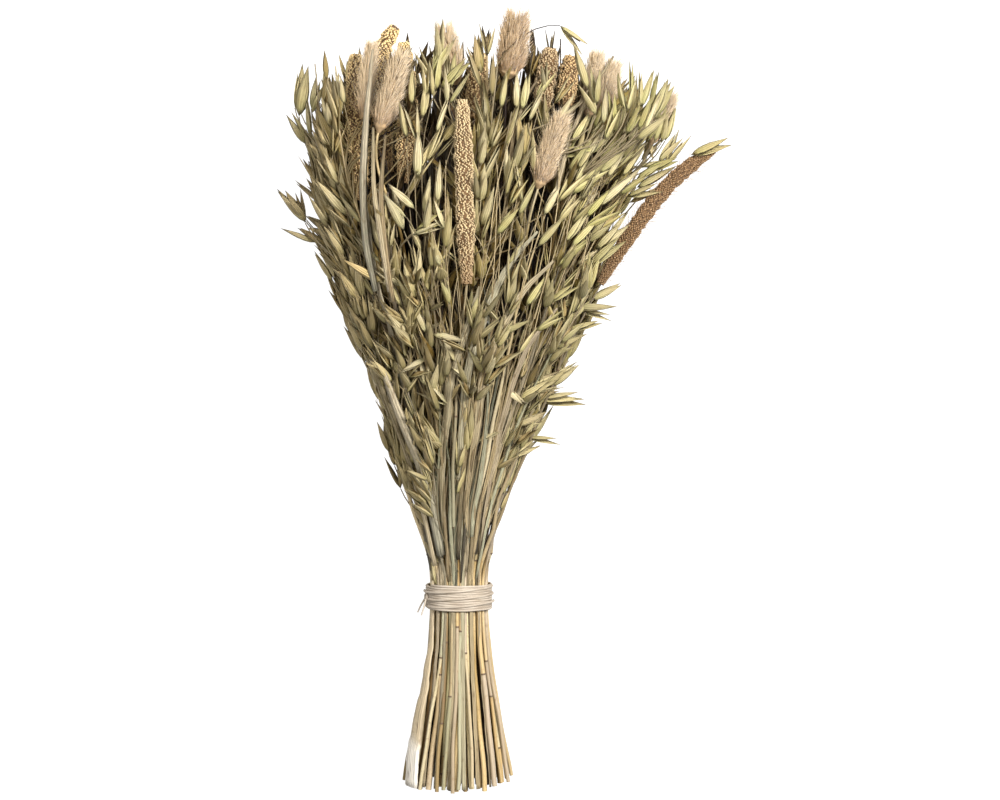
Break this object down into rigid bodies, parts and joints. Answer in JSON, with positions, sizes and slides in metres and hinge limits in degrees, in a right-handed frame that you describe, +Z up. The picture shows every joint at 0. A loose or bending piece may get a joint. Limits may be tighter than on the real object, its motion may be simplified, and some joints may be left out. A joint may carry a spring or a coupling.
{
  "type": "bunch of dried flowers",
  "caption": "Tied bunch of dried grasses lying on its side: oat stalks, millet spikes, hare's-tail heads and long dry leaves held at the waist by a binding of paper twine.",
  "frame": {"origin": "centre of the bounding box's footprint, on the surface that the bunch lies on", "axes": "+Y along the bunch from the cut ends to the heads, +Z up from the surface, +X across"},
  "size_m": [0.263, 0.5136, 0.1619],
  "materials": {
    "dried_oat": "dry matt straw with olive-green papery husks",
    "dried_millet": "dry cream-gold grains on a straw stem",
    "hare_tail": "soft pinkish-beige hair on a straw stem",
    "dried_leaf": "dry matt grey-green leaf with fine long veins",
    "pale_sheath": "pale papery torn sheath",
    "paper_twine": "matt pale beige paper twine"
  },
  "bodies": {
    "root": {"binding": "paper_twine", "leaf_centre": "dried_leaf", "leaf_left": "dried_leaf", "leaf_mauve": "dried_leaf", "leaf_patch": "dried_leaf", "leaf_right": "dried_leaf", "leaf_sweep": "dried_leaf", "leaf_under_left": "dried_leaf", "leaf_under_right": "dried_leaf", "millet_front": "dried_millet", "millet_left_a": "dried_millet", "millet_left_b": "dried_millet", "millet_left_c": "dried_millet", "millet_mid_a": "dried_millet", "millet_mid_b": "dried_millet", "millet_right": "dried_millet", "millet_top": "dried_millet", "millet_under_a": "dried_millet", "millet_under_b": "dried_millet", "oat_01": "dried_oat", "oat_02": "dried_oat", "oat_03": "dried_oat", "oat_04": "dried_oat", "oat_05": "dried_oat", "oat_06": "dried_oat", "oat_07": "dried_oat", "oat_08": "dried_oat", "oat_09": "dried_oat", "oat_10": "dried_oat", "oat_11": "dried_oat", "oat_12": "dried_oat", "oat_13": "dried_oat", "oat_14": "dried_oat", "oat_15": "dried_oat", "oat_16": "dried_oat", "oat_17": "dried_oat", "oat_18": "dried_oat", "oat_19": "dried_oat", "oat_20": "dried_oat", "oat_21": "dried_oat", "oat_22": "dried_oat", "oat_23": "dried_oat", "oat_24": "dried_oat", "oat_25": "dried_oat", "oat_26": "dried_oat", "oat_27": "dried_oat", "oat_28": "dried_oat", "oat_29": "dried_oat", "oat_30": "dried_oat", "oat_31": "dried_oat", "pale_sheath": "pale_sheath", "tail_left_a": "hare_tail", "tail_left_b": "hare_tail", "tail_mid": "hare_tail", "tail_right_a": "hare_tail", "tail_right_b": "hare_tail", "tail_right_c": "hare_tail", "tail_top": "hare_tail", "tail_top_left": "hare_tail", "tail_under": "hare_tail"}
  },
  "joints": []
}
